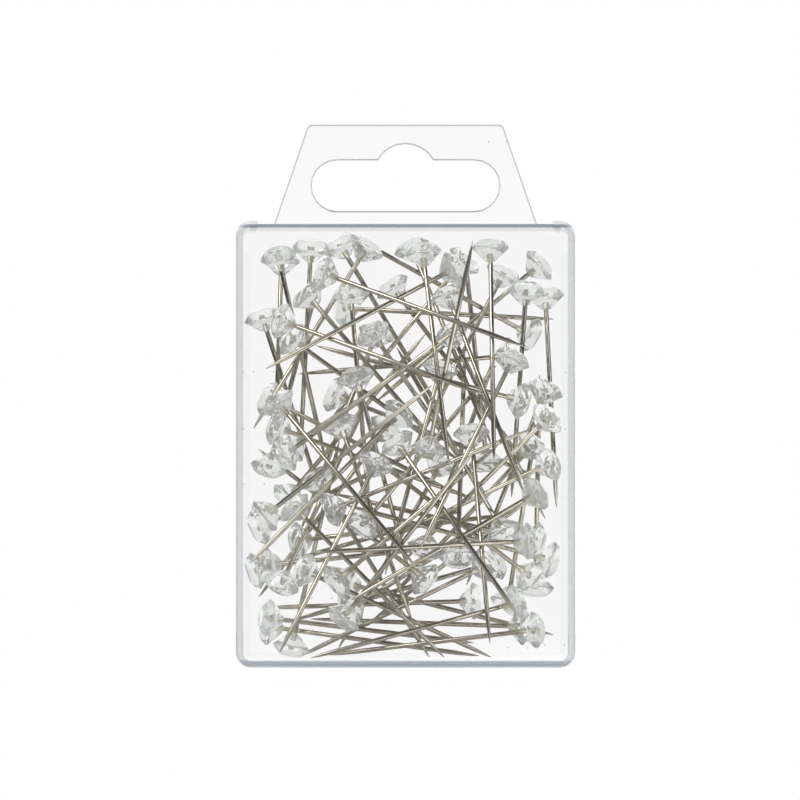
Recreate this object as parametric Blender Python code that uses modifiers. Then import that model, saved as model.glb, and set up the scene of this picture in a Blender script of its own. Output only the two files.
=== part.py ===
"""A clear hang-tab box of loose diamond head pins, standing upright with its front facing -Y.

The base (back plate, hang tab and walls) carries a hinged lid and 29 pins, each a steel shaft set in a
faceted head. The pins are laid one after another against the back plate, each as deep as it will go.
"""

import math

import bmesh
import bpy
import numpy as np
from mathutils import Matrix, Vector

for old in list(bpy.data.objects):
    bpy.data.objects.remove(old)

MM = 0.001

# Box, read from the photo at 5.85 pixels per millimetre. The depth can't be seen and is a usual one.
BOX_WIDTH = 58.0 * MM
BOX_HEIGHT = 76.4 * MM
BOX_DEPTH = 20.0 * MM
LID_DEPTH = 6.0 * MM
CORNER_RADIUS = 2.5 * MM
WALL = 1.1 * MM
PLATE = 1.1 * MM
EDGE_ROUND = 0.4 * MM
EAR_RISE = 0.5 * MM
REST_GAP = 0.3 * MM

# Locating lip of the base, which the closed lid's walls slip over.
LIP_THICKNESS = 0.8 * MM
LIP_REACH = 1.5 * MM
LIP_ROOT = 1.5 * MM
LIP_TOP_CLEARANCE = 5.0 * MM

# Hinge: lugs on the lid turn on trunnions at the ends of the base's top wall.
LUG_THICKNESS = 1.1 * MM
LUG_SETBACK = 2.4 * MM
TRUNNION_RADIUS = 0.35 * MM
TRUNNION_PLAY = 0.1 * MM
SWING_ROOM = 1.0 * MM

# Hang tab and its slot for a display hook.
TAB_RISE = 17.1 * MM
TAB_ROOT_WIDTH = 45.1 * MM
TAB_TOP_WIDTH = 33.3 * MM
TAB_CORNER_RADIUS = 0.9 * MM
TAB_EDGE_ROUND = 0.25 * MM
SLOT_WIDTH = 32.2 * MM
SLOT_HEIGHT = 8.7 * MM
SLOT_ABOVE_BOX = 2.3 * MM
SLOT_BUMP_RADIUS = 5.4 * MM
SLOT_BUMP_RISE = 2.8 * MM

# Pin.
PIN_LENGTH = 38.0 * MM
SHAFT_DIAMETER = 0.8 * MM
SHAFT_SIDES = 12
POINT_LENGTH = 5.0 * MM
POINT_DIAMETER = 0.12 * MM
HEAD_DIAMETER = 6.4 * MM
CROWN_HEIGHT = 1.3 * MM
GIRDLE_HEIGHT = 0.25 * MM
PAVILION_DEPTH = 2.3 * MM
TABLE_SHARE = 0.56
CULET_DIAMETER = 1.5 * MM
SOCKET_DEPTH = 2.0 * MM
SOCKET_PLAY = 0.05 * MM
PIN_GAP = 0.3 * MM
DEPTH_STEP = 0.35 * MM
TURN_COST = 0.06 * MM
TURNS = range(-20, 21, 5)

# Each pin as read from the photo: where its head lies, in hundredths of the inside width and height,
# and the way its point lies, in degrees from +X.
PIN_READINGS = (
    (12, 93, -92),
    (30, 97, -59),
    (52, 96, -78),
    (68, 93, -150),
    (80, 90, -117),
    (93, 85, -87),
    (31, 82, -18),
    (46, 87, -53),
    (82, 71, 165),
    (6, 80, -77),
    (41, 76, -126),
    (8, 61, -32),
    (28, 62, -22),
    (44, 54, -112),
    (15, 50, 34),
    (61, 46, -119),
    (75, 46, 96),
    (93, 63, -127),
    (5, 31, 26),
    (90, 39, -152),
    (17, 28, 22),
    (4, 21, 16),
    (32, 18, -14),
    (8, 8, -8),
    (90, 28, -178),
    (78, 23, -154),
    (71, 14, 172),
    (90, 17, 89),
    (86, 8, 173),
)

FRONT = -BOX_DEPTH / 2
BACK = BOX_DEPTH / 2
PARTING = FRONT + LID_DEPTH
BASE_TOP = BOX_HEIGHT - EAR_RISE
HINGE_Y = PARTING
HINGE_Z = BASE_TOP - WALL / 2
LUG_RADIUS = BOX_HEIGHT - HINGE_Z - WALL / 8
LUG_OUTER_X = BOX_WIDTH / 2 - LUG_SETBACK
LUG_INNER_X = LUG_OUTER_X - LUG_THICKNESS
TOP_WALL_X = LUG_INNER_X - REST_GAP
GIRDLE_TO_POINT = PIN_LENGTH - CROWN_HEIGHT - GIRDLE_HEIGHT / 2

parts = bpy.data.collections.new("diamond_head_pin_box")
bpy.context.scene.collection.children.link(parts)
cutters = bpy.data.collections.new("cutters")
cutters.hide_render = True
bpy.context.scene.collection.children.link(cutters)


def surface(name, colour, roughness, metallic, clear):
    """A Principled material. clear is its share of light let through."""
    material = bpy.data.materials.new(name)
    material.use_nodes = True
    shader = material.node_tree.nodes["Principled BSDF"]
    shader.inputs["Base Color"].default_value = (*colour, 1.0)
    shader.inputs["Roughness"].default_value = roughness
    shader.inputs["Metallic"].default_value = metallic
    shader.inputs["Transmission Weight"].default_value = clear
    return material


POLYSTYRENE = surface("clear_polystyrene", (0.86, 0.90, 0.93), 0.06, 0.0, 0.9)
ACRYLIC = surface("crystal_acrylic", (0.88, 0.90, 0.88), 0.04, 0.0, 0.9)
STEEL = surface("nickel_plated_steel", (0.64, 0.62, 0.54), 0.22, 1.0, 0.0)


def arc(centre, radius, start, end, steps):
    """Points round a centre, from one angle in degrees to another."""
    angles = np.radians(np.linspace(start, end, steps + 1))
    return [(centre[0] + radius * math.cos(a), centre[1] + radius * math.sin(a)) for a in angles]


def rounded_outline(half_width, low, high, radius):
    """A rounded rectangle in X and Z, counter-clockwise from its lower right corner."""
    right = half_width - radius
    points = arc((right, low + radius), radius, -90, 0, 6)
    points += arc((right, high - radius), radius, 0, 90, 6)
    points += arc((-right, high - radius), radius, 90, 180, 6)
    points += arc((-right, low + radius), radius, 180, 270, 6)
    return points


def outline_mesh(name, outlines, thickness):
    """A flat outline with any holes, filled and given a thickness by a 2D curve, as a mesh in X and Y."""
    curve = bpy.data.curves.new(name, "CURVE")
    curve.dimensions = "2D"
    curve.fill_mode = "BOTH"
    curve.extrude = thickness / 2
    for outline in outlines:
        spline = curve.splines.new("POLY")
        spline.points.add(len(outline) - 1)
        for point, (across, along) in zip(spline.points, outline):
            point.co = (across, along, 0, 1)
        spline.use_cyclic_u = True
    drawn = bpy.data.objects.new(name, curve)
    cutters.objects.link(drawn)
    mesh = bpy.data.meshes.new_from_object(drawn.evaluated_get(bpy.context.evaluated_depsgraph_get()))
    bpy.data.objects.remove(drawn)
    work = bmesh.new()
    work.from_mesh(mesh)
    bmesh.ops.remove_doubles(work, verts=work.verts, dist=1e-6)
    bmesh.ops.dissolve_limit(work, angle_limit=0.01, verts=work.verts, edges=work.edges)
    bmesh.ops.recalc_face_normals(work, faces=work.faces)
    work.to_mesh(mesh)
    work.free()
    return mesh


def add_object(name, mesh, collection, material=None):
    made = bpy.data.objects.new(name, mesh)
    collection.objects.link(made)
    if material is not None:
        mesh.materials.clear()
        mesh.materials.append(material)
    if collection is cutters:
        made.hide_render = True
        made.display_type = "WIRE"
    return made


def upright_plate(name, outlines, near, far, collection, material=None):
    """An outline in X and Z between two depths in Y."""
    mesh = outline_mesh(name, outlines, far - near)
    mesh.transform(Matrix.Translation((0, (near + far) / 2, 0)) @ Matrix.Rotation(math.pi / 2, 4, "X"))
    return add_object(name, mesh, collection, material)


def side_plate(name, outlines, left, right):
    """An outline in Y and Z between two places in X, as a cutter or an added solid."""
    mesh = outline_mesh(name, outlines, right - left)
    stand = Matrix(((0, 0, 1, 0), (1, 0, 0, 0), (0, 1, 0, 0), (0, 0, 0, 1)))
    mesh.transform(Matrix.Translation(((left + right) / 2, 0, 0)) @ stand)
    return add_object(name, mesh, cutters)


def block(name, low, high):
    """A plain box between two corners, as a cutter or an added solid."""
    work = bmesh.new()
    bmesh.ops.create_cube(work, size=1.0)
    size = Vector(high) - Vector(low)
    bmesh.ops.scale(work, vec=size, verts=work.verts)
    bmesh.ops.translate(work, vec=Vector(low) + size / 2, verts=work.verts)
    mesh = bpy.data.meshes.new(name)
    work.to_mesh(mesh)
    work.free()
    return add_object(name, mesh, cutters)


def round_edges_at(mesh, depth, radius):
    """Rounds every edge of a mesh that lies in the plane Y = depth."""
    work = bmesh.new()
    work.from_mesh(mesh)
    flat = [edge for edge in work.edges if all(abs(v.co.y - depth) < 1e-6 for v in edge.verts)]
    outer = [edge for edge in flat if any(abs(face.normal.y) < 0.5 for face in edge.link_faces)]
    bmesh.ops.bevel(work, geom=outer, offset=radius, segments=2, profile=0.5, affect="EDGES")
    work.to_mesh(mesh)
    work.free()


def combine(target, other, operation):
    modifier = target.modifiers.new(f"{operation.lower()} {other.name}", "BOOLEAN")
    modifier.operation = operation
    modifier.object = other
    modifier.solver = "EXACT"


def tab_outline(foot):
    """The hang tab: a trapezoid with rounded upper corners, from a foot inside the back plate."""
    half_root = TAB_ROOT_WIDTH / 2
    half_top = TAB_TOP_WIDTH / 2
    top = BASE_TOP + TAB_RISE
    lean = math.degrees(math.atan2(TAB_RISE, half_root - half_top))
    radius = TAB_CORNER_RADIUS
    inset = radius * math.tan(math.radians(lean) / 2)
    facing = 90 - lean
    right = arc((half_top - inset, top - radius), radius, facing, 90, 4)
    left = [(-x, z) for x, z in reversed(right)]
    return [(half_root, foot), (half_root, BASE_TOP), *right, *left, (-half_root, BASE_TOP), (-half_root, foot)]


def slot_outline():
    """The euro slot: a long round-ended slot with a round bump in the middle of its upper edge."""
    radius = SLOT_HEIGHT / 2
    middle = BASE_TOP + SLOT_ABOVE_BOX + radius
    upper = middle + radius
    run = SLOT_WIDTH / 2 - radius
    centre = upper + SLOT_BUMP_RISE - SLOT_BUMP_RADIUS
    start = math.degrees(math.asin((upper - centre) / SLOT_BUMP_RADIUS))
    points = arc((run, middle), radius, -90, 90, 10)
    points += arc((0, centre), SLOT_BUMP_RADIUS, start, 180 - start, 8)
    points += arc((-run, middle), radius, 90, 270, 10)
    return points


def make_base():
    """Back plate, tab and walls in one moulding, with the locating lip and the hinge trunnions."""
    half = BOX_WIDTH / 2
    rim = PARTING + REST_GAP
    reach = FRONT + PLATE + REST_GAP
    inner_half = half - WALL
    shell = rounded_outline(half, 0, BASE_TOP, CORNER_RADIUS)
    base = upright_plate("box_base", [shell], reach, BACK, parts, POLYSTYRENE)
    round_edges_at(base.data, BACK, EDGE_ROUND)
    hollow = rounded_outline(inner_half, WALL, BASE_TOP - WALL, CORNER_RADIUS - WALL)
    combine(base, upright_plate("base_hollow", [hollow], FRONT, BACK - PLATE, cutters), "DIFFERENCE")
    tab_faces = (BACK - PLATE, BACK - EDGE_ROUND / 4)
    tab = upright_plate("hang_tab", [tab_outline(BASE_TOP - WALL / 2), slot_outline()], *tab_faces, cutters)
    for face in tab_faces:
        round_edges_at(tab.data, face, TAB_EDGE_ROUND)
    combine(base, tab, "UNION")

    # In front of the rim only the top wall stays, which runs forward between the lugs to the front panel.
    out = half + WALL
    over = BOX_HEIGHT + WALL
    stay = TOP_WALL_X + LUG_THICKNESS / 2
    relief = [(-out, -WALL), (out, -WALL), (out, over), (stay, over)]
    relief += [(stay, BOX_HEIGHT / 2), (-stay, BOX_HEIGHT / 2), (-stay, over), (-out, over)]
    combine(base, upright_plate("rim_relief", [relief], FRONT, rim, cutters), "DIFFERENCE")

    # The lip stands inside the side and bottom walls: rooted in them, and clear of the lid's walls in front.
    step = LIP_THICKNESS / 8
    inner = inner_half - REST_GAP - LIP_THICKNESS
    floor = WALL + 2 * REST_GAP + LIP_THICKNESS
    for name, outer, low, grow, near, far in (
        ("lip_root", inner_half + WALL / 4, WALL * 3 / 4, step, rim + step, rim + LIP_ROOT),
        ("lip_blade", inner_half - REST_GAP, WALL + 2 * REST_GAP, 0.0, rim - LIP_REACH, rim + LIP_ROOT / 2),
    ):
        high = BASE_TOP - LIP_TOP_CLEARANCE + grow
        bend = CORNER_RADIUS - WALL
        band = arc((-outer + bend, low + bend), bend, 180, 270, 6) + arc((outer - bend, low + bend), bend, -90, 0, 6)
        band += [(outer, high), (inner - grow, high), (inner - grow, floor + grow)]
        band += [(-inner + grow, floor + grow), (-inner + grow, high), (-outer, high)]
        combine(base, upright_plate(name, [band], near, far, cutters), "UNION")

    # Behind each lug the walls stand back, so that the lid's corners can swing.
    swing_low = HINGE_Z - LUG_RADIUS - REST_GAP
    swing_far = HINGE_Y + LUG_RADIUS + SWING_ROOM
    for side, name in ((-1, "left"), (1, "right")):
        edges = sorted((side * TOP_WALL_X, side * (out + WALL)))
        room = block(f"swing_{name}", (edges[0], FRONT - WALL, swing_low), (edges[1], swing_far, over + WALL))
        combine(base, room, "DIFFERENCE")
        ends = sorted((side * (TOP_WALL_X - WALL), side * (LUG_OUTER_X - LUG_THICKNESS / 8)))
        pivot = arc((HINGE_Y, HINGE_Z), TRUNNION_RADIUS, 0, 330, 11)
        combine(base, side_plate(f"trunnion_{name}", [pivot], ends[0], ends[1]), "UNION")
    return base


def make_lid():
    """Front panel and shallow walls, open at the top between two corners that end in hinge lugs."""
    half = BOX_WIDTH / 2
    over = BOX_HEIGHT + WALL
    shell = rounded_outline(half, REST_GAP, BOX_HEIGHT, CORNER_RADIUS)
    lid = upright_plate("box_lid", [shell], FRONT, PARTING, parts, POLYSTYRENE)
    round_edges_at(lid.data, FRONT, EDGE_ROUND)
    lid.location = (0, HINGE_Y, HINGE_Z)
    lid.data.transform(Matrix.Translation(-lid.location))

    # The hollow runs out through the top wall between the lugs.
    gate = LUG_INNER_X + LUG_THICKNESS / 2
    hollow = rounded_outline(half - WALL, WALL + REST_GAP, BOX_HEIGHT - WALL, CORNER_RADIUS - WALL)
    upper_right = len(hollow) // 2
    ceiling = BOX_HEIGHT - WALL
    hollow[upper_right:upper_right] = [(gate, ceiling), (gate, over), (-gate, over), (-gate, ceiling)]
    combine(lid, upright_plate("lid_hollow", [hollow], FRONT + PLATE, PARTING + WALL, cutters), "DIFFERENCE")
    brow = LUG_INNER_X - REST_GAP
    combine(lid, block("lid_brow", (-brow, FRONT - WALL, BASE_TOP), (brow, PARTING, over)), "DIFFERENCE")

    root = FRONT + PLATE / 2
    nose = arc((HINGE_Y, HINGE_Z), LUG_RADIUS, -90, 90, 10)
    hole = arc((HINGE_Y, HINGE_Z), TRUNNION_RADIUS + TRUNNION_PLAY, 0, 330, 11)
    profile = [(root, HINGE_Z - LUG_RADIUS), *nose, (root, HINGE_Z + LUG_RADIUS)]
    for side, name in ((-1, "left"), (1, "right")):
        faces = sorted((side * LUG_INNER_X, side * LUG_OUTER_X))
        combine(lid, side_plate(f"lug_{name}", [profile], faces[0], faces[1]), "UNION")
        combine(lid, side_plate(f"lug_hole_{name}", [hole], faces[0] - WALL / 4, faces[1] + WALL / 4), "DIFFERENCE")
    return lid


def head_profile():
    """The head's outline as radius and height along its axis, from the table down to the culet."""
    radius = HEAD_DIAMETER / 2
    half_girdle = GIRDLE_HEIGHT / 2
    return (
        (radius * TABLE_SHARE, half_girdle + CROWN_HEIGHT),
        (radius, half_girdle),
        (radius, -half_girdle),
        (CULET_DIAMETER / 2, -half_girdle - PAVILION_DEPTH),
    )


def head_mesh():
    """A round brilliant: the convex hull of its rings of corners, bored from the culet for the shaft."""
    table, girdle_top, girdle_foot, culet = head_profile()
    eighth = math.pi / 4
    crown_slope = (table[1] - girdle_top[1]) / (girdle_top[0] - table[0])
    pavilion_slope = (girdle_foot[1] - culet[1]) / (girdle_foot[0] - culet[0])
    near = math.cos(eighth / 2)
    star_radius = (table[0] + girdle_top[0]) / 2
    star = (star_radius, table[1] - (star_radius * near - table[0]) * crown_slope)
    lower_radius = (culet[0] * 2 + girdle_foot[0]) / 3
    lower = (lower_radius, girdle_foot[1] - (girdle_foot[0] - lower_radius * near) * pavilion_slope)
    work = bmesh.new()
    for (radius, height), count, turn in (
        (table, 8, 0.0),
        (star, 8, eighth / 2),
        (girdle_top, 16, 0.0),
        (girdle_foot, 16, 0.0),
        (lower, 8, eighth / 2),
        (culet, 8, 0.0),
    ):
        for step in range(count):
            angle = turn + step * 2 * math.pi / count
            work.verts.new((radius * math.cos(angle), radius * math.sin(angle), height))
    hull = bmesh.ops.convex_hull(work, input=work.verts)
    bmesh.ops.delete(work, geom=hull["geom_interior"], context="VERTS")
    bmesh.ops.dissolve_limit(work, angle_limit=0.01, verts=work.verts, edges=work.edges)
    bmesh.ops.recalc_face_normals(work, faces=work.faces)
    gem_mesh = bpy.data.meshes.new("gem")
    work.to_mesh(gem_mesh)
    work.free()
    gem = add_object("gem", gem_mesh, cutters)

    bore = arc((0, 0), SHAFT_DIAMETER / 2 + SOCKET_PLAY, 0, 330, 11)
    drill_mesh = outline_mesh("drill", [bore], SOCKET_DEPTH * 2)
    drill_mesh.transform(Matrix.Translation((0, 0, culet[1] + SOCKET_PLAY)))
    drill = add_object("drill", drill_mesh, cutters)
    combine(gem, drill, "DIFFERENCE")
    mesh = bpy.data.meshes.new_from_object(gem.evaluated_get(bpy.context.evaluated_depsgraph_get()))
    mesh.name = "pin_head"
    mesh.materials.clear()
    mesh.materials.append(ACRYLIC)
    bpy.data.objects.remove(gem)
    bpy.data.objects.remove(drill)
    return mesh


def shaft_mesh():
    """A wire with a ground point, turned about the head's axis, its upper end inside the head."""
    top = head_profile()[3][1] + SOCKET_DEPTH - SOCKET_PLAY
    tip = -GIRDLE_TO_POINT
    radius = SHAFT_DIAMETER / 2
    work = bmesh.new()
    profile = (
        (0, top),
        (radius, top),
        (radius, tip + POINT_LENGTH),
        (radius * 0.72, tip + POINT_LENGTH * 0.45),
        (POINT_DIAMETER / 2, tip),
        (0, tip),
    )
    corners = [work.verts.new((across, 0, height)) for across, height in profile]
    for upper, lower in zip(corners, corners[1:]):
        work.edges.new((upper, lower))
    drawn_mesh = bpy.data.meshes.new("shaft_profile")
    work.to_mesh(drawn_mesh)
    work.free()
    drawn = add_object("shaft_profile", drawn_mesh, cutters)
    turn = drawn.modifiers.new("turn", "SCREW")
    turn.steps = SHAFT_SIDES
    turn.render_steps = SHAFT_SIDES
    turn.use_merge_vertices = True
    turn.merge_threshold = 1e-6
    mesh = bpy.data.meshes.new_from_object(drawn.evaluated_get(bpy.context.evaluated_depsgraph_get()))
    mesh.name = "pin_shaft"
    mesh.materials.clear()
    mesh.materials.append(STEEL)
    bpy.data.objects.remove(drawn)
    return mesh


def head_planes():
    """The head's outline as half planes in radius and height: rows of normal and offset."""
    profile = [(0.0, head_profile()[0][1]), *head_profile(), (0.0, head_profile()[3][1])]
    rows = []
    for (r0, h0), (r1, h1) in zip(profile, profile[1:]):
        normal = np.array((h0 - h1, r1 - r0))
        normal = normal / np.linalg.norm(normal)
        rows.append((*normal, normal @ (r0, h0)))
    return np.array(rows)


def head_reach(axis, outward):
    """How far the head stands out from its girdle centre along a direction. axis runs from head to point."""
    along = -(axis @ outward)
    across = np.sqrt(np.maximum(1 - along**2, 0))
    return np.max([radius * across + height * along for radius, height in head_profile()], axis=0)


def gap_to_heads(points, heads, axes):
    """Least gap from each set of points to each head, as the farthest half plane tells it."""
    offset = points - heads
    height = -np.sum(offset * axes, axis=-1)
    radius = np.sqrt(np.maximum(np.sum(offset * offset, axis=-1) - height**2, 0))
    rows = head_planes()
    outside = [row[0] * radius + row[1] * height - row[2] for row in rows]
    return np.max(outside, axis=0).min(axis=-1)


def gap_of_lines(start, end, other_start, other_end):
    """Least distance between straight lines of limited length."""
    u = end - start
    v = other_end - other_start
    w = start - other_start
    a, b, c = np.sum(u * u, -1), np.sum(u * v, -1), np.sum(v * v, -1)
    d, e = np.sum(u * w, -1), np.sum(v * w, -1)
    s = np.clip((b * e - c * d) / np.maximum(a * c - b * b, 1e-18), 0, 1)
    t = np.clip((b * s + e) / c, 0, 1)
    s = np.clip((b * t - d) / a, 0, 1)
    return np.linalg.norm(w + s[..., None] * u - t[..., None] * v, axis=-1)


def shaft_points(heads, axes):
    """Points every millimetre down each shaft."""
    steps = np.linspace(PAVILION_DEPTH, GIRDLE_TO_POINT, 36)
    return heads[..., None, :] + steps[:, None] * axes[..., None, :]


def rim_points(heads, axes):
    """Points round the table, the girdle and the culet of each head."""
    side = np.cross(axes, np.array((0.31, 0.95, 0.05)))
    side = side / np.linalg.norm(side, axis=-1, keepdims=True)
    other = np.cross(axes, side)
    rings = []
    for radius, height in head_profile():
        for angle in np.linspace(0, 2 * math.pi, 12, endpoint=False):
            ray = radius * (math.cos(angle) * side + math.sin(angle) * other)
            rings.append(heads + ray - height * axes)
    return np.stack(rings, axis=-2)


def clear_of(heads, axes, laid):
    """For each candidate pose, whether it keeps the gap to every pin already laid."""
    wire = SHAFT_DIAMETER / 2
    points = heads + axes * GIRDLE_TO_POINT
    clear = np.ones(len(heads), bool)
    for head, axis in laid:
        clear &= gap_of_lines(heads, points, head, head + axis * GIRDLE_TO_POINT) > 2 * wire + PIN_GAP
        left = np.flatnonzero(clear)
        places, ways = heads[left], axes[left]
        fits = gap_to_heads(shaft_points(places, ways), head, axis) > wire + PIN_GAP
        fits &= gap_to_heads(rim_points(places, ways), head, axis) > PIN_GAP
        fits &= gap_to_heads(shaft_points(head, axis), places[:, None], ways[:, None]) > wire + PIN_GAP
        fits &= gap_to_heads(rim_points(head, axis), places[:, None], ways[:, None]) > PIN_GAP
        clear[left] = fits
    return clear


def poses_at(across, up, degrees):
    """Every pose of a pin read at this place: a grid of depths for its head and its point, walls kept clear."""
    low = np.array((-BOX_WIDTH / 2 + WALL, WALL))
    high = np.array((BOX_WIDTH / 2 - WALL, BASE_TOP - WALL))
    place = low + (high - low) * np.array((across, up)) / 100
    heading = np.array((math.cos(math.radians(degrees)), math.sin(math.radians(degrees))))
    room = BOX_DEPTH - 2 * PLATE - HEAD_DIAMETER - 2 * PIN_GAP
    steps = np.arange(0, room, DEPTH_STEP)
    head_depth, point_depth = (grid.ravel() for grid in np.meshgrid(HEAD_DIAMETER / 2 + steps, steps))
    point_depth = point_depth + SHAFT_DIAMETER / 2
    rise = (point_depth - head_depth) / GIRDLE_TO_POINT
    run = np.sqrt(np.maximum(1 - rise**2, 0))
    axes = np.stack((heading[0] * run, -rise, heading[1] * run), axis=-1)
    heads = np.empty_like(axes)
    for column, side in ((0, 0), (2, 1)):
        outward = np.eye(3)[column]
        ends = axes[:, column] * GIRDLE_TO_POINT
        wire = SHAFT_DIAMETER / 2 + PIN_GAP
        most = np.minimum(high[side] - head_reach(axes, outward) - PIN_GAP, high[side] - wire - ends)
        least = np.maximum(low[side] + head_reach(axes, -outward) + PIN_GAP, low[side] + wire - ends)
        heads[:, column] = np.clip(place[side], least, np.maximum(least, most))
    heads[:, 1] = BACK - PLATE - PIN_GAP - head_depth
    clear = head_reach(axes, np.array((0.0, 1.0, 0.0))) <= head_depth
    return heads[clear], axes[clear], (head_depth + point_depth)[clear]


def ranked_poses(reading, turns):
    """Every pose near a reading, the best first: depth counts against it, and so does a turn from the reading."""
    across, up, degrees = reading
    heads, axes, costs = [], [], []
    for turn in turns:
        place, axis, depth = poses_at(across, up, degrees + turn)
        heads.append(place)
        axes.append(axis)
        costs.append(np.round((depth + abs(turn) * TURN_COST) / DEPTH_STEP, 6))
    order = np.argsort(np.concatenate(costs), kind="stable")
    return np.concatenate(heads)[order], np.concatenate(axes)[order], np.concatenate(costs)[order]


def first_clear(poses, start, laid):
    """The place in the ranking of the first pose, from a start, that is clear of the pins already laid."""
    heads, axes, costs = poses
    for begin in range(start, len(costs), 200):
        some = slice(begin, begin + 200)
        clear = clear_of(heads[some], axes[some], laid)
        if clear.any():
            return begin + int(np.argmax(clear))
    raise ValueError("the box is too small for its pins")


def lay_pins():
    """Lays the pins against the back plate: each time, the pin that can still lie deepest goes next."""
    waiting = {number: ranked_poses(reading, TURNS) for number, reading in enumerate(PIN_READINGS, start=1)}
    best = dict.fromkeys(waiting, 0)
    laid = {}
    while waiting:
        chosen = min(waiting, key=lambda number: waiting[number][2][best[number]])
        heads, axes, costs = waiting.pop(chosen)
        laid[chosen] = heads[best[chosen]], axes[best[chosen]]
        for number, poses in waiting.items():
            best[number] = first_clear(poses, best[number], laid.values())
    return laid


make_base()
make_lid()
head_form = head_mesh()
shaft_form = shaft_mesh()
for number, (place, axis) in sorted(lay_pins().items()):
    aim = Vector((0, 0, -1)).rotation_difference(Vector(axis)).to_matrix().to_4x4()
    head = add_object(f"pin_{number:02d}_head", head_form, parts)
    head.matrix_world = Matrix.Translation(place) @ aim @ Matrix.Rotation(number * 0.7, 4, "Z")
    shaft = add_object(f"pin_{number:02d}_shaft", shaft_form, parts)
    shaft.parent = head
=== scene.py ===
"""A clear hang-tab box full of loose diamond head pins, standing on a pale floor in soft studio light.

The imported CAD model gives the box, its lid and 29 pins. The pins are made again with bevelled facets and
finer finishes, and the rest of the heap is laid behind, between and in front of them.
"""

import math

import bmesh
import bpy
import numpy as np
from mathutils import Matrix, Vector


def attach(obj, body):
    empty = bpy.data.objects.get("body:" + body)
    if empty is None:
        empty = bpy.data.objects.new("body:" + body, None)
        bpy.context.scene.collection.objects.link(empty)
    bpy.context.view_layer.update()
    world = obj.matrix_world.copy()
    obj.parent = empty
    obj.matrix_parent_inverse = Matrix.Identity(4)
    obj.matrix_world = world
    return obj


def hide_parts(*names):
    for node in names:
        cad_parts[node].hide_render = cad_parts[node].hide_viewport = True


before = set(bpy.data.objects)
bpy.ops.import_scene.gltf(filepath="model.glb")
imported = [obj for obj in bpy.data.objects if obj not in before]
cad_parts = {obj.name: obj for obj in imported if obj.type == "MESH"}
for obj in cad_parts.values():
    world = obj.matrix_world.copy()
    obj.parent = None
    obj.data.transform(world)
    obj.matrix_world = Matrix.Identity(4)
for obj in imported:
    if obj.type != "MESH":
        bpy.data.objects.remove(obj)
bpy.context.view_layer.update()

# Box base: back plate, hang tab with its hook slot, four walls, locating lip and hinge trunnions, moulded in
# one piece of clear polystyrene. The mould polishes its faces, so it shows as reflections and as thin veils.
# Wherever a wall is seen along its length it shows as a blue-grey band: the plastic's own tint, darkened
# by painted shade, with lines of painted shade along the wall faces and the rounded edges.
MM = 0.001
IN_MM = (1 / MM, 1 / MM, 1 / MM)
BASE_LOW = 0.0
BASE_HIGH = 75.9
CORNER_X = 26.5
CORNER_RADIUS = 2.5
WALL = 1.1
INNER_PLATE = 8.9
GLARE = (1.0, 1.0, 1.0, 1.0)
WALL_TINT_AND_SHADE = (0.38, 0.445, 0.51, 1.0)
PAINTED_SHADE_TINT = (0.26, 0.325, 0.385, 1.0)
FLAT_TURN = (0.75, 0.92)
ROUND_TURN = (0.02, 0.12)
BAND_START = (-0.05, 0.05)
FRONT_BAND_START = (-0.05, 0.08)
MIRRORED = 0.025
MIRRORED_EDGEWAYS = 0.9
MIRRORED_POWER = 5
WALL_BODY = 0.13
FOOT_SHADE = 0.15
FOOT_FADE = (0.9, 1.6)
BROW_SHADE = 0.24
BROW_HEIGHT = 75.6
BROW_FADE = (0.12, 0.42)
EDGE_SHADE = 0.11
TAB_EDGE_SHADE = 0.58
TAB_EDGE_UPRIGHT = 0.3
TAB_EDGE_LEVEL = 0.8
TAB_TINT_AND_SHADE = (0.25, 0.26, 0.26, 1.0)
TAB_VEIL = 0.012
TAB_ROOT_FADE = 0.1
TAB_SIDE = (23.0, 24.0)
SILL_HEIGHT = 78.2
SILL_FADE = (0.05, 0.25)
SILL_ENDS = (11.8, 13.8)
SILL_SHADE = 0.3
DUST_CELL = 5.0
DUST_SLANT = 3.1
DUST_SHARE = (0.93, 0.94)
DUST_SIZE = (0.07, 0.16)
DUST_BODY = 0.8
LINE_SHADE = 0.06
LINE_FADE = (0.0, 0.22)
FLOW_GRAIN = (0.03, 0.03, 0.012)
FLOW_LEAST = 0.88
FLOW_SPAN = 0.24
RUB_GRAIN = (2.2, 2.2, 0.16)
RUB_SHARE = (0.56, 0.72)
RUB_BODY = 0.006
PLASTIC_POLISH = 0.05
RUB_ROUGHNESS = 0.12
BAND_ROUGHNESS = 0.2


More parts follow.
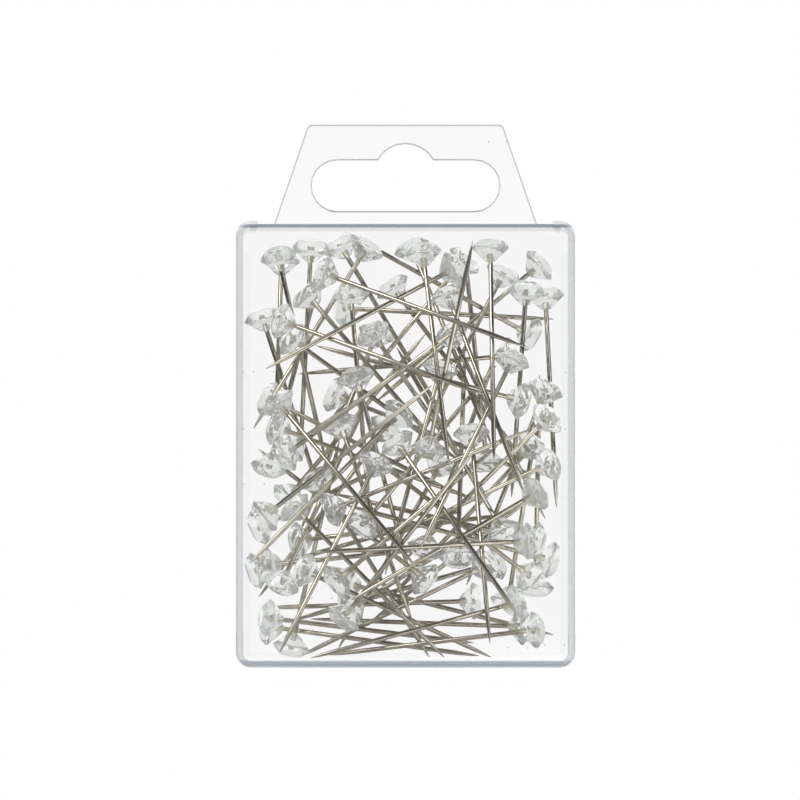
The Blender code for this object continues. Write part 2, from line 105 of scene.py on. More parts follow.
class Signal:
    """A socket of a node tree. Arithmetic on it adds Math nodes, and node() adds any other kind."""

    def __init__(self, tree, socket=None):
        self.tree = tree
        self.socket = socket

    def node(self, kind, settings=None, inputs=None, output=0):
        """Adds a node: its settings first, then its sockets' values or links. Gives one of its outputs."""
        made = self.tree.nodes.new("ShaderNode" + kind)
        for name, value in (settings or {}).items():
            setattr(made, name, value)
        for name, value in (inputs or {}).items():
            if isinstance(value, Signal):
                self.tree.links.new(value.socket, made.inputs[name])
            else:
                made.inputs[name].default_value = value
        return Signal(self.tree, made.outputs[output] if made.outputs else None)

    def math(self, operation, *terms):
        return self.node("Math", {"operation": operation}, dict(enumerate(terms)))

    def __add__(self, other):
        return self.math("ADD", self, other)

    __radd__ = __add__

    def __sub__(self, other):
        return self.math("SUBTRACT", self, other)

    def __rsub__(self, other):
        return self.math("SUBTRACT", other, self)

    def __mul__(self, other):
        return self.math("MULTIPLY", self, other)

    __rmul__ = __mul__

    def __truediv__(self, other):
        return self.math("DIVIDE", self, other)

    def __pow__(self, other):
        return self.math("POWER", self, other)

    def __abs__(self):
        return self.math("ABSOLUTE", self)

    def most(self, other):
        """The larger of two values."""
        return self.math("MAXIMUM", self, other)

    def rise(self, start, end):
        """A smooth step from 0 at start to 1 at end."""
        settings = {"interpolation_type": "SMOOTHSTEP"}
        return self.node("MapRange", settings, {"Value": self, "From Min": start, "From Max": end})

    def blend(self, first, second):
        """A colour between two, with this value as its factor."""
        return self.node("Mix", {"data_type": "RGBA"}, {0: self, 6: first, 7: second}, 2)

    def scaled(self, factors):
        """A vector with each of its values multiplied."""
        return self.node("VectorMath", {"operation": "MULTIPLY"}, {0: self, 1: factors})

    def grain(self, fineness, detail):
        """Soft noise over a place, finer or coarser along each axis."""
        inputs = {"Vector": self.scaled(fineness), "Scale": 1.0, "Detail": detail}
        return self.node("TexNoise", None, inputs)

    def axes(self):
        """The three values of a vector."""
        return [self.node("SeparateXYZ", None, {"Vector": self}, axis) for axis in range(3)]


def new_finish(name):
    """An empty material, and a signal that adds nodes to it."""
    material = bpy.data.materials.new(name)
    material.use_nodes = True
    material.node_tree.nodes.clear()
    return material, Signal(material.node_tree)


def clear_polystyrene(name, low, high):
    """Clear plastic of a moulding whose walls stand between two heights in millimetres."""
    material, tree = new_finish(name)
    place = tree.node("TexCoord", None, None, "Object").scaled(IN_MM)
    x, y, z = place.axes()
    turned = [abs(value) for value in tree.node("TexCoord", None, None, "Normal").axes()]
    faces_x, faces_y, faces_z = (value.rise(*FLAT_TURN) for value in turned)

    # How far a point lies outside the inner faces of the walls, seen from the front, corners included.
    past_x = (abs(x) - CORNER_X).most(0)
    past_z = (abs(z - (low + high) / 2) - ((high - low) / 2 - CORNER_RADIUS)).most(0)
    past_wall = (past_x * past_x + past_z * past_z) ** 0.5 - (CORNER_RADIUS - WALL)
    below_tab = 1 - z.rise(high, high + TAB_ROOT_FADE)
    from_front = past_wall.rise(*FRONT_BAND_START) * below_tab
    # Painted shade: a darker line along the inner face of each wall, seen from the front.
    wall_shade_line = (1 - abs(past_wall).rise(*LINE_FADE)) * below_tab

    # The same seen from the side and from above, where the front panel and the back plate stand on edge.
    past_plate = (abs(y) - INNER_PLATE).rise(*BAND_START)
    past_side = (abs(x) - CORNER_X - CORNER_RADIUS + WALL).rise(*BAND_START)
    past_level = (abs(z - (low + high) / 2) - (high - low) / 2 + WALL).rise(*BAND_START) * below_tab
    banded = faces_y * from_front + faces_x * past_plate.most(past_level)
    banded = banded + faces_z * past_plate.most(past_side)
    # Painted shade: grey lines along the rounded edges, where the faces turn away from the front.
    rounded = (1 - turned[0].most(turned[1]).most(turned[2])).rise(*ROUND_TURN)

    # Painted shade: the bands are darker near the floor and along the top.
    foot = 1 - z.rise(low + FOOT_FADE[0], low + FOOT_FADE[1])
    brow = 1 - abs(z - BROW_HEIGHT).rise(*BROW_FADE)
    shaded_band = foot.most(brow)
    # Painted shade: darker lines along the hang tab's rounded edges, darkest on its level edges.
    tab_edge_shade = (1 - below_tab) * (TAB_EDGE_UPRIGHT + turned[2] * TAB_EDGE_LEVEL)

    # The hang tab is a faint grey veil, with a line of painted shade along the sill of its slot.
    tab_face = (1 - below_tab) * (1 - abs(x).rise(*TAB_SIDE))
    on_sill = (1 - abs(z - SILL_HEIGHT).rise(*SILL_FADE)) * (1 - abs(x).rise(*SILL_ENDS))
    veil = faces_y * tab_face * (TAB_VEIL + on_sill * SILL_SHADE)

    # Specks of dust cling to the plastic in a few of the cells that it is divided into.
    spread = tree.node("CombineXYZ", None, {"X": (x + y * DUST_SLANT) / DUST_CELL, "Y": z / DUST_CELL})
    cells = {"Vector": spread, "Scale": 1.0}
    flat = {"voronoi_dimensions": "2D"}
    speck = 1 - (tree.node("TexVoronoi", flat, cells, "Distance") * DUST_CELL).rise(*DUST_SIZE)
    dusty = tree.node("TexVoronoi", flat, cells, "Color").axes()[0].rise(*DUST_SHARE)

    # Faint flow marks of the moulding, and the fine rub marks that a box picks up on a hook.
    flow = place.grain(FLOW_GRAIN, detail=3.0)
    rubbed = place.grain(RUB_GRAIN, detail=4.0).rise(*RUB_SHARE)
    body = banded * (WALL_BODY + foot * FOOT_SHADE + brow * BROW_SHADE) + faces_y * wall_shade_line * LINE_SHADE
    body = body + rounded * (EDGE_SHADE + tab_edge_shade * TAB_EDGE_SHADE) + veil
    body = (body * (FLOW_LEAST + flow * FLOW_SPAN)).most(rubbed * RUB_BODY).most(speck * dusty * DUST_BODY)
    facing = tree.node("LayerWeight", None, {"Blend": 0.5}, "Facing")
    mirrored = MIRRORED + facing**MIRRORED_POWER * MIRRORED_EDGEWAYS
    alpha = body + mirrored * (1 - body)
    share = body / alpha
    # The bands take the plastic's own tint, darkened by painted shade; the darker tint is painted shade only.
    tint_and_shade = shaded_band.most(tab_edge_shade).blend(WALL_TINT_AND_SHADE, PAINTED_SHADE_TINT)
    shader = tree.node(
        "BsdfPrincipled",
        None,
        {
            "Base Color": share.blend(GLARE, tab_face.blend(tint_and_shade, TAB_TINT_AND_SHADE)),
            "Metallic": 1 - share,
            "Roughness": PLASTIC_POLISH + rubbed * RUB_ROUGHNESS + share * BAND_ROUGHNESS,
            "Alpha": alpha,
        },
    )
    tree.node("OutputMaterial", None, {"Surface": shader})
    return material


def dress(node, material):
    """Gives a CAD node another material."""
    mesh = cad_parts[node].data
    mesh.materials.clear()
    mesh.materials.append(material)


dress("box_base", clear_polystyrene("clear_polystyrene_base", BASE_LOW, BASE_HIGH))

# Box lid: front panel and shallow walls of the same clear polystyrene, moulded in one piece. Two lugs at its
# wrapped top corners snap over the base's trunnions, and it swings forward and up on them.
LID_LOW = 0.0
LID_HIGH = 76.4
dress("box_lid", clear_polystyrene("clear_polystyrene_lid", LID_LOW, LID_HIGH))

# Pin heads: round brilliants of crystal-clear acrylic, moulded with polished facets and pressed onto the
# wire. The mould leaves every facet edge slightly rounded, and the wire's end shows as a dark knob inside.
GIRDLE_TO_POINT = 36.575 * MM
HEAD_RADIUS = 3.2 * MM
CROWN_HEIGHT = 1.3 * MM
HALF_GIRDLE = 0.125 * MM
PAVILION_DEPTH = 2.3 * MM
TABLE_RADIUS = HEAD_RADIUS * 0.56
CULET_RADIUS = 0.75 * MM
FACET_ROUND = 0.05 * MM
CROWN_SIDES = 8
GIRDLE_SIDES = 16
PIN_SPIN = 0.7
END_SLICE = 0.1 * MM
ACRYLIC_TINT = (0.95, 0.96, 0.95, 1.0)
ACRYLIC_SHADE = (0.86, 0.88, 0.865, 1.0)
ACRYLIC_SHADOW = (0.86, 0.89, 0.87, 1.0)
ACRYLIC_IOR = 1.49
ACRYLIC_CLEARNESS = 0.84
DEPTH_SCALE = 0.35
DEPTH_SHARE = (0.35, 0.7)
FACET_POLISH = 0.04
HAZE_SCALE = 2.6
HAZE_SHARE = (0.45, 0.75)
HAZE_ROUGHNESS = 0.12
WAVE_SCALE = 0.9
WAVE_STRENGTH = 0.12
WAVE_HEIGHT = 0.1 * MM
HEAD_OUTLINE = (
    (TABLE_RADIUS, HALF_GIRDLE + CROWN_HEIGHT),
    (HEAD_RADIUS, HALF_GIRDLE),
    (HEAD_RADIUS, -HALF_GIRDLE),
    (CULET_RADIUS, -HALF_GIRDLE - PAVILION_DEPTH),
)


def crystal_acrylic():
    """Clear acrylic with a faint green-grey depth, polished facets and a little haze from handling."""
    material, tree = new_finish("crystal_acrylic")
    local = tree.node("Attribute", {"attribute_name": "local"}, None, "Vector").scaled(IN_MM)
    depth = tree.node("TexNoise", None, {"Vector": local, "Scale": DEPTH_SCALE, "Detail": 2.0})
    haze_inputs = {"Vector": local, "Scale": HAZE_SCALE, "Detail": 5.0, "Roughness": 0.6}
    haze = tree.node("TexNoise", None, haze_inputs)
    wave = tree.node("TexNoise", None, {"Vector": local, "Scale": WAVE_SCALE, "Detail": 1.0})
    bent = tree.node("Bump", None, {"Strength": WAVE_STRENGTH, "Distance": WAVE_HEIGHT, "Height": wave})
    acrylic = tree.node(
        "BsdfPrincipled",
        None,
        {
            "Base Color": depth.rise(*DEPTH_SHARE).blend(ACRYLIC_TINT, ACRYLIC_SHADE),
            "Roughness": FACET_POLISH + haze.rise(*HAZE_SHARE) * HAZE_ROUGHNESS,
            "IOR": ACRYLIC_IOR,
            "Transmission Weight": ACRYLIC_CLEARNESS,
            "Normal": bent,
        },
    )
    lets_lamps_in = tree.node("BsdfTransparent", None, {"Color": ACRYLIC_SHADOW})
    shadow = tree.node("LightPath", None, None, "Is Shadow Ray")
    shader = tree.node("MixShader", None, {0: shadow, 1: acrylic, 2: lets_lamps_in})
    tree.node("OutputMaterial", None, {"Surface": shader})
    return material


def head_form():
    """One head about its girdle's centre, table up: the hull of its rings of corners, edges rounded."""
    table, girdle_top, girdle_foot, culet = HEAD_OUTLINE
    eighth = math.pi / 4
    near = math.cos(eighth / 2)
    crown_slope = (table[1] - girdle_top[1]) / (girdle_top[0] - table[0])
    pavilion_slope = (girdle_foot[1] - culet[1]) / (girdle_foot[0] - culet[0])
    star_radius = (table[0] + girdle_top[0]) / 2
    star = (star_radius, table[1] - (star_radius * near - table[0]) * crown_slope)
    lower_radius = (culet[0] * 2 + girdle_foot[0]) / 3
    lower = (lower_radius, girdle_foot[1] - (girdle_foot[0] - lower_radius * near) * pavilion_slope)
    work = bmesh.new()
    for (radius, height), count, turn in (
        (table, CROWN_SIDES, 0.0),
        (star, CROWN_SIDES, eighth / 2),
        (girdle_top, GIRDLE_SIDES, 0.0),
        (girdle_foot, GIRDLE_SIDES, 0.0),
        (lower, CROWN_SIDES, eighth / 2),
        (culet, CROWN_SIDES, 0.0),
    ):
        for step in range(count):
            angle = turn + step * 2 * math.pi / count
            work.verts.new((radius * math.cos(angle), radius * math.sin(angle), height))
    hull = bmesh.ops.convex_hull(work, input=work.verts)
    bmesh.ops.delete(work, geom=hull["geom_interior"], context="VERTS")
    bmesh.ops.dissolve_limit(work, angle_limit=0.01, verts=work.verts, edges=work.edges)
    bmesh.ops.recalc_face_normals(work, faces=work.faces)
    edges = list(work.edges)
    bmesh.ops.bevel(work, geom=edges, offset=FACET_ROUND, segments=1, profile=0.5, affect="EDGES")
    bmesh.ops.triangulate(work, faces=work.faces)
    mesh = bpy.data.meshes.new("head_form")
    work.to_mesh(mesh)
    work.free()
    return mesh


def pin_pose(number):
    """Where a CAD pin lies: its head's girdle centre, and the way from there to its point."""
    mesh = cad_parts[f"pin_{number:02d}_shaft"].data
    corners = np.array([tuple(vertex.co) for vertex in mesh.vertices])
    middle = corners.mean(axis=0)
    axis = np.linalg.svd(corners - middle)[2][0]
    along = (corners - middle) @ axis
    across = np.linalg.norm(corners - middle - along[:, None] * axis, axis=1)
    end = across[along > along.max() - END_SLICE].max()
    start = across[along < along.min() + END_SLICE].max()
    if end > start:
        axis = -axis
        along = -along
    tip = middle + axis * along.max()
    return tip - axis * GIRDLE_TO_POINT, axis


def pin_frame(place, axis, number):
    """The matrix that stands a pin's form at a place. A form's point lies at -Z."""
    aim = Vector((0, 0, -1)).rotation_difference(Vector(axis)).to_matrix().to_4x4()
    return Matrix.Translation(Vector(place)) @ aim @ Matrix.Rotation(number * PIN_SPIN, 4, "Z")


def set_in_place(name, form, frames, material):
    """One object with a copy of a form at each frame. The form's own coordinates stay as "local"."""
    own = np.empty(len(form.vertices) * 3, np.float32)
    form.vertices.foreach_get("co", own)
    work = bmesh.new()
    for matrix in frames:
        first = len(work.verts)
        work.from_mesh(form)
        work.verts.ensure_lookup_table()
        bmesh.ops.transform(work, matrix=matrix, verts=work.verts[first:])
    mesh = bpy.data.meshes.new(name)
    work.to_mesh(mesh)
    work.free()
    local = mesh.attributes.new("local", "FLOAT_VECTOR", "POINT")
    local.data.foreach_set("vector", np.tile(own, len(frames)))
    mesh.materials.append(material)
    piece = bpy.data.objects.new(name, mesh)
    bpy.context.scene.collection.objects.link(piece)
    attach(piece, "base")
    return piece


PIN_NUMBERS = range(1, 30)
acrylic = crystal_acrylic()
head = head_form()
pin_poses = {number: pin_pose(number) for number in PIN_NUMBERS}
for number, (place, axis) in pin_poses.items():
    made = set_in_place(f"head_{number:02d}", head, [pin_frame(place, axis, number)], acrylic)
    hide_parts(f"pin_{number:02d}_head")

# Pin shafts: drawn steel wire, cut, ground to a long point and nickel plated. The blunt end is pressed 2 mm
# deep into the head. The plate has a warm grey shine, with drawing streaks along the wire and rings from
# grinding at the point.
SHAFT_RADIUS = 0.4 * MM
SHAFT_SIDES = 20
SEAT_DEPTH = 1.95 * MM
SHAFT_TOP = -HALF_GIRDLE - PAVILION_DEPTH + SEAT_DEPTH
POINT_LENGTH = 5.0 * MM
TIP_RADIUS = 0.06 * MM
NICKEL = (0.54, 0.51, 0.43, 1.0)
TARNISH = (0.27, 0.24, 0.18, 1.0)
STAIN_GRAIN = (1.2, 1.2, 0.35)
STAIN_SHARE = (0.5, 0.78)
STAIN_MOST = 0.7
STREAK_GRAIN = (9.0, 9.0, 0.22)
STREAK_SHARE = (0.3, 0.75)
RING_GRAIN = (0.3, 0.3, 14.0)
GROUND_SHARE = 0.85
WIRE_POLISH = 0.03
STREAK_ROUGHNESS = 0.06
RING_ROUGHNESS = 0.1
RELIEF_STRENGTH = 0.15
RELIEF_HEIGHT = 0.01 * MM
SHAFT_OUTLINE = (
    (0.0, SHAFT_TOP),
    (SHAFT_RADIUS * 0.82, SHAFT_TOP),
    (SHAFT_RADIUS, SHAFT_TOP - 0.08 * MM),
    (SHAFT_RADIUS, -GIRDLE_TO_POINT + POINT_LENGTH),
    (SHAFT_RADIUS * 0.9, -GIRDLE_TO_POINT + POINT_LENGTH * 0.72),
    (SHAFT_RADIUS * 0.72, -GIRDLE_TO_POINT + POINT_LENGTH * 0.45),
    (SHAFT_RADIUS * 0.45, -GIRDLE_TO_POINT + POINT_LENGTH * 0.19),
    (TIP_RADIUS, -GIRDLE_TO_POINT + 0.05 * MM),
    (0.0, -GIRDLE_TO_POINT),
)


def nickel_plate():
    """Bright nickel over drawn wire: streaks along it, a little tarnish, and rings ground at the point."""
    material, tree = new_finish("nickel_plated_steel")
    local = tree.node("Attribute", {"attribute_name": "local"}, None, "Vector").scaled(IN_MM)
    along = local.axes()[2]
    streak = local.grain(STREAK_GRAIN, detail=3.0)
    stain = local.grain(STAIN_GRAIN, detail=4.0)
    ring = local.grain(RING_GRAIN, detail=2.0)
    all_ground = (-GIRDLE_TO_POINT + POINT_LENGTH * GROUND_SHARE) / MM
    all_drawn = (-GIRDLE_TO_POINT + POINT_LENGTH) / MM
    ground = 1 - along.rise(all_ground, all_drawn)
    relief = streak * (1 - ground) + ring * ground
    bump_inputs = {"Strength": RELIEF_STRENGTH, "Distance": RELIEF_HEIGHT, "Height": relief}
    bump = tree.node("Bump", None, bump_inputs)
    roughness = WIRE_POLISH + streak.rise(*STREAK_SHARE) * STREAK_ROUGHNESS + ground * ring * RING_ROUGHNESS
    shader = tree.node(
        "BsdfPrincipled",
        None,
        {
            "Base Color": (stain.rise(*STAIN_SHARE) * STAIN_MOST).blend(NICKEL, TARNISH),
            "Metallic": 1.0,
            "Roughness": roughness,
            "Normal": bump,
        },
    )
    tree.node("OutputMaterial", None, {"Surface": shader})
    return material


def shaft_form():
    """One shaft on its head's axis: its outline turned about Z, smooth but for its blunt end."""
    work = bmesh.new()
    rows = []
    for radius, height in SHAFT_OUTLINE:
        count = SHAFT_SIDES if radius > 0 else 1
        row = []
        for step in range(count):
            angle = step * 2 * math.pi / SHAFT_SIDES
            row.append(work.verts.new((radius * math.cos(angle), radius * math.sin(angle), height)))
        rows.append(row)
    for upper, lower in zip(rows, rows[1:]):
        for step in range(SHAFT_SIDES):
            after = (step + 1) % SHAFT_SIDES
            corners = [upper[step % len(upper)], lower[step % len(lower)]]
            corners += [lower[after % len(lower)], upper[after % len(upper)]]
            face = work.faces.new(list(dict.fromkeys(corners)))
            face.smooth = len(upper) > 1
    bmesh.ops.recalc_face_normals(work, faces=work.faces)
    mesh = bpy.data.meshes.new("shaft_form")
    work.to_mesh(mesh)
    work.free()
    return mesh


nickel = nickel_plate()
shaft = shaft_form()
for number, (place, axis) in pin_poses.items():
    made = set_in_place(f"shaft_{number:02d}", shaft, [pin_frame(place, axis, number)], nickel)
    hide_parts(f"pin_{number:02d}_shaft")

# The rest of the heap: more of the same pins, loose in the box. Each is laid where it is seen from the
# front, the buried ones as deep and the foremost ones as near to the lid as the pins already there let them
# lie. None of them touches the locating lip that the lid closes over.
INSIDE_LOW = np.array((-27.9, 1.1)) * MM
INSIDE_HIGH = np.array((27.9, 74.8)) * MM
ROOM_LOW = np.array((-26.7, 1.6)) * MM
ROOM_HIGH = np.array((26.7, 74.7)) * MM
HEAP_FRONT = -8.7 * MM
HEAP_BACK = 8.85 * MM
LIP_FRONT = -5.2 * MM
LIP_BACK = -2.2 * MM
LIP_TOP = 2.6 * MM
HEAP_GAP = 0.04 * MM
STEEP = 0.2
DEPTH_STEP = 0.6 * MM
TURN_COST = 0.15 * MM
SHIFT_COST = 0.4
HEAP_TURNS = (0, -5, 5, -10, 10, -15, 15, -22, 22, -30, 30)
HEAP_SHIFTS = (0.0, -1.5 * MM, 1.5 * MM)
POSES_AT_ONCE = 400
WIRE_STEPS = 30
RIM_STEPS = 10
SLANT = np.array((0.31, 0.95, 0.05))
NEXT_TO_NOTHING = 1e-18

# A reading gives a head's place across and up the inside in percent, and the way to its point in degrees.
BURIED_READINGS = (
    (11, 94, -62),
    (21, 96, -78),
    (38, 96, -122),
    (86, 86, 173),
    (20, 85, -49),
    (33, 87, -55),
    (13, 76, -41),
    (91, 92, -135),
    (87, 86, -104),
    (64, 76, -53),
    (8, 45, 45),
    (14, 38, 50),
    (5, 22, 16),
    (77, 23, -154),
    (14, 36, -40),
    (33, 12, 54),
    (15, 3, 82),
    (89, 50, -133),
    (82, 16, 86),
    (94, 24, 143),
    (12, 18, 60),
    (8, 10, -2),
    (19, 16, -15),
    (23, 42, -53),
    (56, 26, 60),
    (66, 24, 88),
    (56, 19, 127),
    (86, 21, 143),
    (8, 55, -20),
    (30, 55, -60),
    (93, 45, -160),
    (95, 55, -140),
    (88, 60, 170),
    (80, 30, 120),
    (35, 30, 40),
    (87, 7, 172),
    (31, 20, 70),
    (60, 66, -110),
    (35, 66, -60),
    (40, 76, -60),
    (30, 36, 0),
)
FOREMOST_READINGS = (
    (25, 90, -20),
    (67, 92, -152),
    (12, 79, -20),
    (57, 49, 83),
    (55, 97, -83),
    (76, 96, -89),
    (63, 85, -69),
    (84, 72, -116),
    (11, 60, -50),
    (90, 28, -177),
    (31, 10, 52),
    (41, 46, -117),
    (84, 13, -165),
    (49, 49, -70),
    (70, 55, -85),
    (9, 35, 23),
    (15, 49, 36),
    (90, 39, -155),
    (46, 56, -113),
)


def head_reach(axes, outward):
    """How far heads stand out from their girdle centres along a direction."""
    along = -(axes @ outward)
    across = np.sqrt(np.maximum(1 - along**2, 0))
    return np.max([radius * across + height * along for radius, height in HEAD_OUTLINE], axis=0)


def head_planes():
    """The head's outline as half planes in radius and height: rows of normal and offset."""
    outline = [(0.0, HEAD_OUTLINE[0][1]), *HEAD_OUTLINE, (0.0, HEAD_OUTLINE[3][1])]
    rows = []
    for (radius, height), (next_radius, next_height) in zip(outline, outline[1:]):
        drop = height - next_height
        widening = next_radius - radius
        normal = np.array((drop, widening)) / math.hypot(drop, widening)
        rows.append((*normal, normal @ (radius, height)))
    return rows


def gap_to_heads(points, heads, axes):
    """Least gap from each set of points to each head, as the farthest half plane tells it."""
    offset = points - heads
    height = -np.sum(offset * axes, axis=-1)
    radius = np.sqrt(np.maximum(np.sum(offset * offset, axis=-1) - height**2, 0))
    gaps = [outward * radius + upward * height - reach for outward, upward, reach in HEAD_PLANES]
    return np.max(gaps, axis=0).min(axis=-1)


def gap_of_wires(start, end, other_start, other_end):
    """Least distance between straight lines of limited length."""
    run = end - start
    other_run = other_end - other_start
    apart = start - other_start
    square = np.sum(run * run, -1)
    shared = np.sum(run * other_run, -1)
    other_square = np.sum(other_run * other_run, -1)
    lead = np.sum(run * apart, -1)
    other_lead = np.sum(other_run * apart, -1)
    crossing = np.maximum(square * other_square - shared * shared, NEXT_TO_NOTHING)
    share = np.clip((shared * other_lead - other_square * lead) / crossing, 0, 1)
    other_share = np.clip((shared * share + other_lead) / other_square, 0, 1)
    share = np.clip((shared * other_share - lead) / square, 0, 1)
    return np.linalg.norm(apart + share[..., None] * run - other_share[..., None] * other_run, axis=-1)


def wire_points(heads, axes):
    """Points down each shaft."""
    steps = np.linspace(PAVILION_DEPTH, GIRDLE_TO_POINT, WIRE_STEPS)
    return heads[..., None, :] + steps[:, None] * axes[..., None, :]


def rim_points(heads, axes):
    """Points round the table, the girdle and the culet of each head."""
    side = np.cross(axes, SLANT)
    side = side / np.linalg.norm(side, axis=-1, keepdims=True)
    other = np.cross(axes, side)
    rings = []
    for radius, height in HEAD_OUTLINE:
        for angle in np.linspace(0, 2 * math.pi, RIM_STEPS, endpoint=False):
            outward = math.cos(angle) * side + math.sin(angle) * other
            rings.append(heads + radius * outward - height * axes)
    return np.stack(rings, axis=-2)


def wires_apart(heads, axes, place, axis):
    """For each pose, whether its wire keeps the gap to a laid pin's wire."""
    points = heads + axes * GIRDLE_TO_POINT
    gap = gap_of_wires(heads, points, place, place + axis * GIRDLE_TO_POINT)
    return gap > 2 * SHAFT_RADIUS + HEAP_GAP


def heads_apart(heads, axes, place, axis):
    """For each pose, whether neither its head nor a laid pin's head comes too near to the other pin."""
    fits = gap_to_heads(wire_points(heads, axes), place, axis) > SHAFT_RADIUS + HEAP_GAP
    fits &= gap_to_heads(rim_points(heads, axes), place, axis) > HEAP_GAP
    heads, axes = heads[:, None], axes[:, None]
    fits &= gap_to_heads(wire_points(place, axis), heads, axes) > SHAFT_RADIUS + HEAP_GAP
    fits &= gap_to_heads(rim_points(place, axis), heads, axes) > HEAP_GAP
    return fits


def over_lip(heads, axes):
    """For each pose, whether the pin stays above the base's locating lip wherever it crosses it."""
    fits = np.ones(len(heads), bool)
    for points, reach in ((wire_points(heads, axes), SHAFT_RADIUS), (rim_points(heads, axes), 0.0)):
        gap = reach + HEAP_GAP
        beside = (points[..., 1] > LIP_FRONT - gap) & (points[..., 1] < LIP_BACK + gap)
        fits &= ~np.any(beside & (points[..., 2] < LIP_TOP + gap), axis=-1)
    return fits


def first_clear(heads, axes, laid):
    """The place in a list of poses of the first one that is clear of every pin already laid, or None."""
    for begin in range(0, len(heads), POSES_AT_ONCE):
        left = np.arange(begin, min(begin + POSES_AT_ONCE, len(heads)))
        left = left[over_lip(heads[left], axes[left])]
        for apart in (wires_apart, heads_apart):
            for place, axis in laid:
                if len(left):
                    left = left[apart(heads[left], axes[left], place, axis)]
        if len(left):
            return left[0]
    return None


def poses_near(across, up, degrees, foremost):
    """Every pose near a reading, the best first. Turns, shifts along the wire and depths go in steps."""
    place = INSIDE_LOW + (INSIDE_HIGH - INSIDE_LOW) * np.array((across, up)) / 100
    depths = np.arange(HEAP_FRONT, HEAP_BACK, DEPTH_STEP)
    grid = np.meshgrid(depths, depths, np.radians(degrees + np.array(HEAP_TURNS)), HEAP_SHIFTS)
    head_y, point_y, way, shift = (values.ravel() for values in grid)
    lean = (point_y - head_y) / GIRDLE_TO_POINT
    run = np.sqrt(1 - lean**2)
    axes = np.stack((np.cos(way) * run, lean, np.sin(way) * run), axis=-1)
    heads = np.stack((place[0] + np.cos(way) * shift, head_y, place[1] + np.sin(way) * shift), axis=-1)
    wire = SHAFT_RADIUS + HEAP_GAP
    for column, low, high in ((0, ROOM_LOW[0], ROOM_HIGH[0]), (2, ROOM_LOW[1], ROOM_HIGH[1])):
        outward = np.eye(3)[column]
        ends = axes[:, column] * GIRDLE_TO_POINT
        slim = np.where(abs(axes[:, column]) > STEEP, TIP_RADIUS + HEAP_GAP, wire)
        most = np.minimum(high - head_reach(axes, outward), high - slim - ends)
        least = np.maximum(low + head_reach(axes, -outward), low + slim - ends)
        heads[:, column] = np.clip(heads[:, column], least, np.maximum(least, most))
    outward = np.array((0.0, 1.0, 0.0))
    fits = head_y + head_reach(axes, outward) < HEAP_BACK
    fits &= head_y - head_reach(axes, -outward) > HEAP_FRONT
    fits &= (point_y < HEAP_BACK - wire) & (point_y > HEAP_FRONT + wire)
    forward = (head_y + point_y) * (1 if foremost else -1)
    cost = forward + abs(np.degrees(way) - degrees) * TURN_COST + abs(shift) * SHIFT_COST
    order = np.argsort(cost[fits], kind="stable")
    return heads[fits][order], axes[fits][order]


def lay_heap(laid):
    """Lays the readings one by one among the pins already laid. One that finds no room is left out."""
    heap = []
    readings = [(*row, True) for row in FOREMOST_READINGS] + [(*row, False) for row in BURIED_READINGS]
    for reading in readings:
        heads, axes = poses_near(*reading)
        clear = first_clear(heads, axes, laid + heap)
        if clear is not None:
            heap.append((heads[clear], axes[clear]))
    return heap


HEAD_PLANES = head_planes()
heap_poses = lay_heap(list(pin_poses.values()))
heap_frames = []
for number, (place, axis) in enumerate(heap_poses, start=PIN_NUMBERS.stop):
    heap_frames.append(pin_frame(place, axis, number))
heap_heads = set_in_place("heap_heads", head, heap_frames, acrylic)
heap_shafts = set_in_place("heap_shafts", shaft, heap_frames, nickel)

# Floor: a smooth white studio sweep, wide enough to run out of the picture. It keeps the box's soft shadow
# and fades to plain white farther out. In front, on the right, a patch of it has a painted glow, seen only in
# reflections, that stands in for a white card and shines in the metal of the pins.
FLOOR_RADIUS = 0.9
FLOOR_SIDES = 96
FLOOR_DROP = 0.02 * MM
FLOOR_WHITE = (0.6, 0.6, 0.6, 1.0)
FLOOR_GLOW = 0.66
FLOOR_GLOSS = 0.14
CARD_GLOW = 1.3
CARD_LEFT = (-0.01, 0.02)
CARD_BACK = (-0.04, -0.01)
FLOOR_BOUNCE = 0.3
SHADOW_REACH = (0.12, 0.28)


def studio_floor():
    """Matt white that takes the shadow near the box, and plain background white farther out."""
    material, tree = new_finish("studio_floor")
    x, y, _ = tree.node("TexCoord", None, None, "Object").axes()
    seen = tree.node("LightPath", None, None, "Is Camera Ray")
    seen = seen.most(tree.node("LightPath", None, None, "Is Transmission Ray"))
    mirrored = tree.node("LightPath", None, None, "Is Glossy Ray")
    matt = tree.node("BsdfDiffuse", None, {"Color": FLOOR_WHITE})
    away = ((x * x + y * y) ** 0.5).rise(*SHADOW_REACH)
    grounds = []
    for gloss in (FLOOR_GLOSS, FLOOR_GLOSS + CARD_GLOW):
        glossy = mirrored * gloss
        glow = tree.node("Emission", None, {"Color": GLARE, "Strength": seen * FLOOR_GLOW + glossy})
        near = tree.node("AddShader", None, {0: matt, 1: glow})
        level = glossy.most(FLOOR_BOUNCE)
        far = tree.node("Emission", None, {"Color": GLARE, "Strength": level + seen * (1 - level)})
        grounds.append(tree.node("MixShader", None, {0: away, 1: near, 2: far}))
    bare, carded = grounds
    # Painted glow: the card is a patch of the floor that glows for reflected rays only.
    card = x.rise(*CARD_LEFT) * (1 - y.rise(*CARD_BACK)) * (1 - away)
    shader = tree.node("MixShader", None, {0: card, 1: bare, 2: carded})
    tree.node("OutputMaterial", None, {"Surface": shader})
    return material


work = bmesh.new()
bmesh.ops.create_circle(work, cap_ends=True, radius=FLOOR_RADIUS, segments=FLOOR_SIDES)
floor_mesh = bpy.data.meshes.new("floor")
work.to_mesh(floor_mesh)
work.free()
floor_mesh.materials.append(studio_floor())
floor = bpy.data.objects.new("floor", floor_mesh)
floor.location = (0, 0, -FLOOR_DROP)
bpy.context.scene.collection.objects.link(floor)

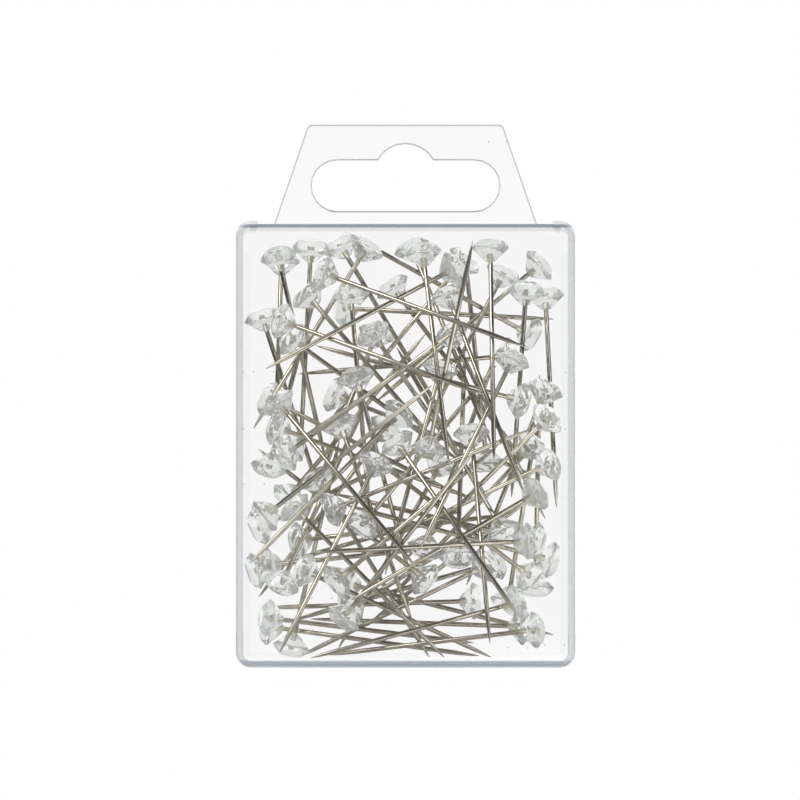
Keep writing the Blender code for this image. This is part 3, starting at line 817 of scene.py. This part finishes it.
# Studio: the camera sees plain white, and so it does through the box's panels. Metal and cut facets see a
# room: white behind the box, dim in front and at the sides, with one large soft box up on the left, and two
# small ones on the right and overhead that are there for the facets.
ROOM_FRONT = 0.12
ROOM_SIDES = 0.04
ROOM_BACK = 1.0
ROOM_AMBIENT = 0.62
FACET_FRONT = 0.55
FACET_SIDES = 0.42
FRONT_SPAN = (-0.75, -0.35)
METAL_BACK = (0.55, 0.85)
FACET_BACK = (0.1, 0.55)
SOFT_EDGE = 1.35

# A soft box gives where it stands, its half width in radians, and its strength in metal and in facets.
SOFT_BOXES = (
    ((-0.5, -0.52, 0.69), 0.46, 1.6, 1.35),
    ((0.72, -0.66, 0.28), 0.22, 0.2, 1.2),
    ((0.1, -0.25, 0.96), 0.28, 0.2, 1.2),
)
world = bpy.data.worlds.new("studio")
bpy.context.scene.world = world
world.use_nodes = True
world.node_tree.nodes.clear()
tree = Signal(world.node_tree)
way = tree.node("TexCoord", None, None, "Generated")
backward = way.axes()[1]
toward = 1 - backward.rise(*FRONT_SPAN)
clear_ray = tree.node("LightPath", None, None, "Is Transmission Ray")
far_behind = backward.rise(*METAL_BACK)
behind = far_behind + clear_ray * (backward.rise(*FACET_BACK) - far_behind)
sides = ROOM_SIDES + clear_ray * (FACET_SIDES - ROOM_SIDES)
front = ROOM_FRONT + clear_ray * (FACET_FRONT - ROOM_FRONT)
room = sides + toward * (front - sides)
room = room + behind * (ROOM_BACK - room)
for aim, width, in_metal, in_facets in SOFT_BOXES:
    middle = Vector(aim).normalized()
    near = tree.node("VectorMath", {"operation": "DOT_PRODUCT"}, {0: way, 1: middle}, "Value")
    lit = near.rise(math.cos(width * SOFT_EDGE), math.cos(width))
    room = room + lit * (in_metal + clear_ray * (in_facets - in_metal) - room)
bent_ray = tree.node("LightPath", None, None, "Is Glossy Ray").most(clear_ray)
camera_ray = tree.node("LightPath", None, None, "Is Camera Ray")
level = ROOM_AMBIENT + bent_ray * (room - ROOM_AMBIENT)
level = level + camera_ray * (1.0 - level)
sky = tree.node("Background", None, {"Color": GLARE, "Strength": level})
tree.node("OutputWorld", None, {"Surface": sky})

# Lamps: two square soft lamps on stands, the key up on the left and a weaker fill on the right, both aimed at
# the middle of the box. They give the soft shadow on the floor.
LAMP_AIM = Vector((0, 0, 0.04))
LAMPS = (
    ("key_lamp", (-0.55, -0.85, 0.85), 0.7, 4.0),
    ("fill_lamp", (0.85, -0.75, 0.35), 0.6, 1.8),
)
for name, spot, size, power in LAMPS:
    lamp = bpy.data.lights.new(name, "AREA")
    lamp.size = size
    lamp.energy = power
    stand = bpy.data.objects.new(name, lamp)
    stand.location = spot
    stand.rotation_euler = (LAMP_AIM - Vector(spot)).to_track_quat("-Z", "Y").to_euler()
    bpy.context.scene.collection.objects.link(stand)

# Camera: straight on, 6 m in front of the lid, with a very long lens, so that the walls run straight back.
# The picture is 136.75 mm wide at the lid. Many bounces carry a look through several heads and both panels.
SENSOR_WIDTH = 36.0
LENS = 1579.5
SIGHT = 10.0
EYE_PLACE = (-0.94 * MM, -6.01, 45.8 * MM)
camera = bpy.data.cameras.new("camera")
camera.sensor_width = SENSOR_WIDTH
camera.lens = LENS
camera.clip_end = SIGHT
eye = bpy.data.objects.new("camera", camera)
eye.location = EYE_PLACE
eye.rotation_euler = (math.pi / 2, 0, 0)
bpy.context.scene.collection.objects.link(eye)
scene = bpy.context.scene
scene.camera = eye
scene.view_settings.view_transform = "Standard"
scene.cycles.max_bounces = 28
scene.cycles.transmission_bounces = 24
scene.cycles.glossy_bounces = 6
scene.cycles.transparent_max_bounces = 48
